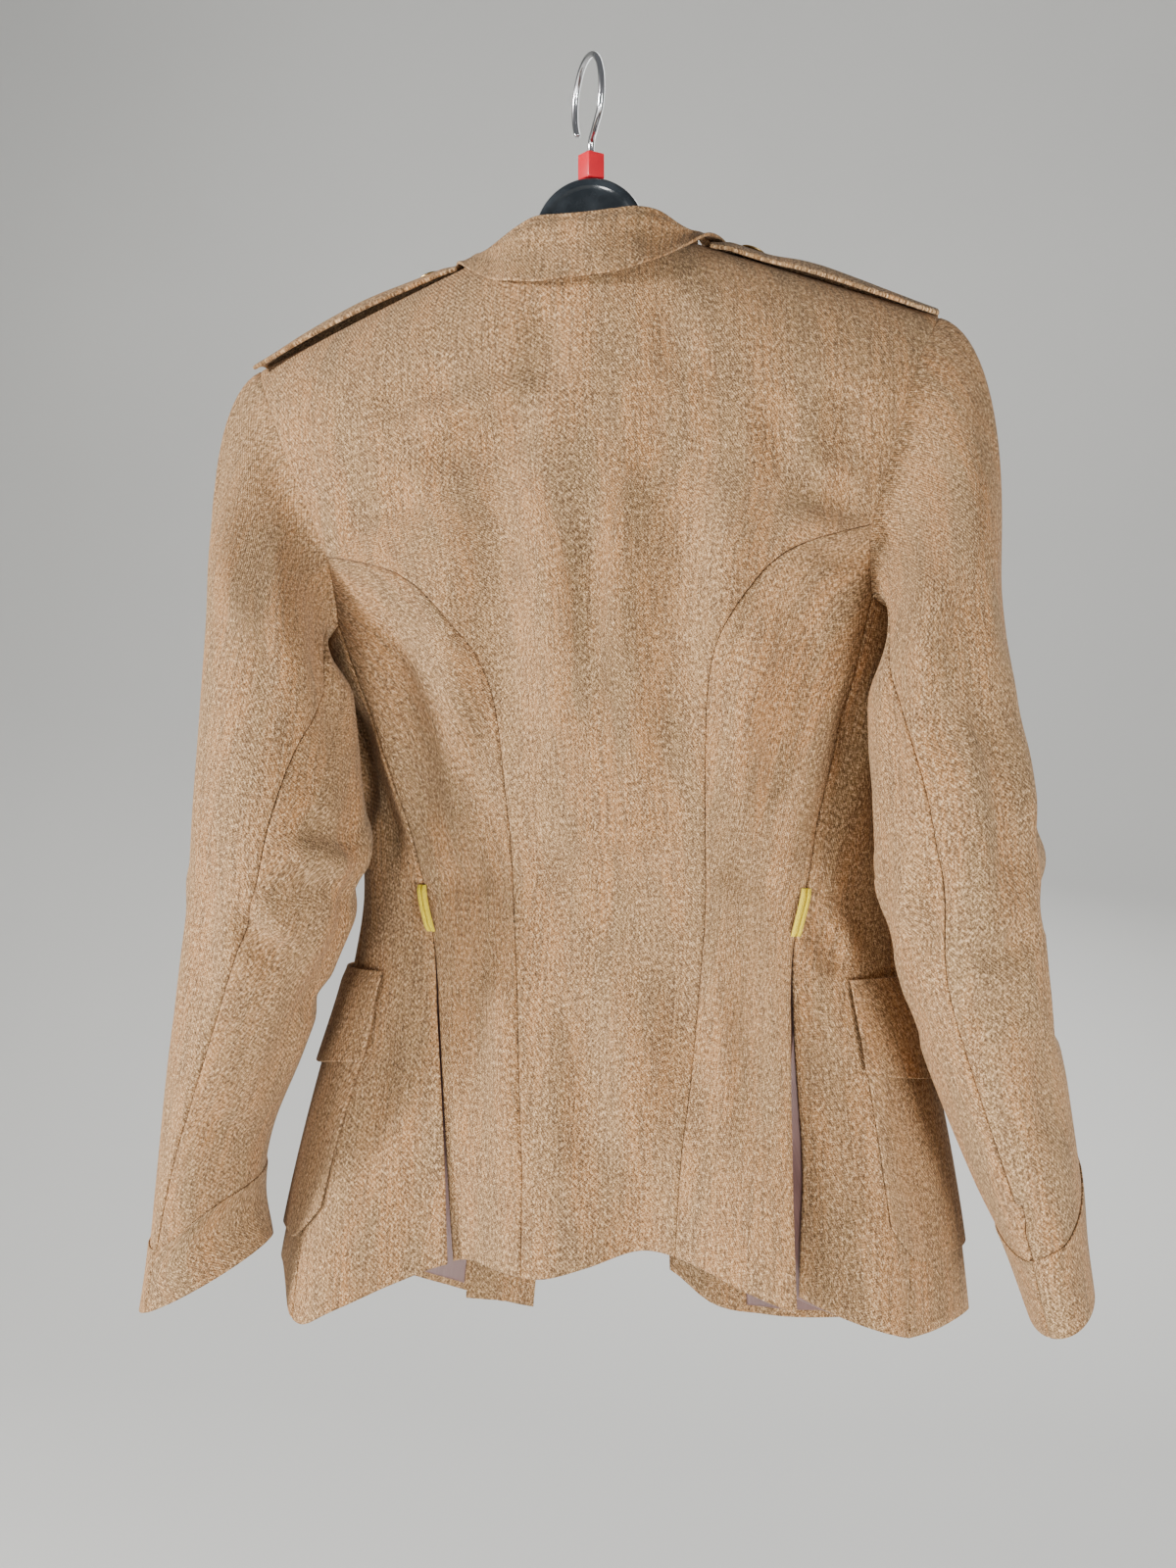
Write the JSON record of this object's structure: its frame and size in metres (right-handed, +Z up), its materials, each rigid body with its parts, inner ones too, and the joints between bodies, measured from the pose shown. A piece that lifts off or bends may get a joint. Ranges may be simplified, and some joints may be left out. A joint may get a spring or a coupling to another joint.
{
  "type": "dress uniform jacket",
  "caption": "Dress uniform jacket in khaki brown wool twill with shoulder straps, patch pockets and yellow belt loops, on a hanger.",
  "frame": {"origin": "inside top of the hanger hook's bend, where the jacket hangs", "axes": "+Z up, -Y the way that the jacket's back faces, +X the wearer's right arm"},
  "size_m": [0.5704, 0.2122, 0.7904],
  "materials": {
    "wool": "matte",
    "lining": "satin",
    "yellow_cord": "matte",
    "button_metal": "satin",
    "black_plastic": "gloss",
    "hook_steel": "polished",
    "red_plastic": "gloss"
  },
  "bodies": {
    "root": {"back_center": "wool", "belt_loop_left": "yellow_cord", "belt_loop_right": "yellow_cord", "collar_fall": "wool", "collar_stand": "wool", "cuff_left": "wool", "cuff_right": "wool", "facing_left": "wool", "facing_right": "wool", "front_button_1": "button_metal", "front_button_2": "button_metal", "front_button_3": "button_metal", "front_button_4": "button_metal", "front_left": "wool", "front_right": "wool", "hanger_arm_left": "black_plastic", "hanger_arm_right": "black_plastic", "hanger_cube": "red_plastic", "hanger_hub": "black_plastic", "hook": "hook_steel", "lapel_left": "wool", "lapel_right": "wool", "lining_left": "lining", "lining_right": "lining", "pocket_flap_left": "wool", "pocket_flap_right": "wool", "pocket_left": "wool", "pocket_right": "wool", "shoulder_strap_left": "wool", "shoulder_strap_right": "wool", "side_back_left": "wool", "side_back_right": "wool", "side_panel_left": "wool", "side_panel_right": "wool", "strap_button_left": "button_metal", "strap_button_right": "button_metal", "topsleeve_left": "wool", "topsleeve_right": "wool", "undersleeve_left": "wool", "undersleeve_right": "wool"}
  },
  "joints": []
}
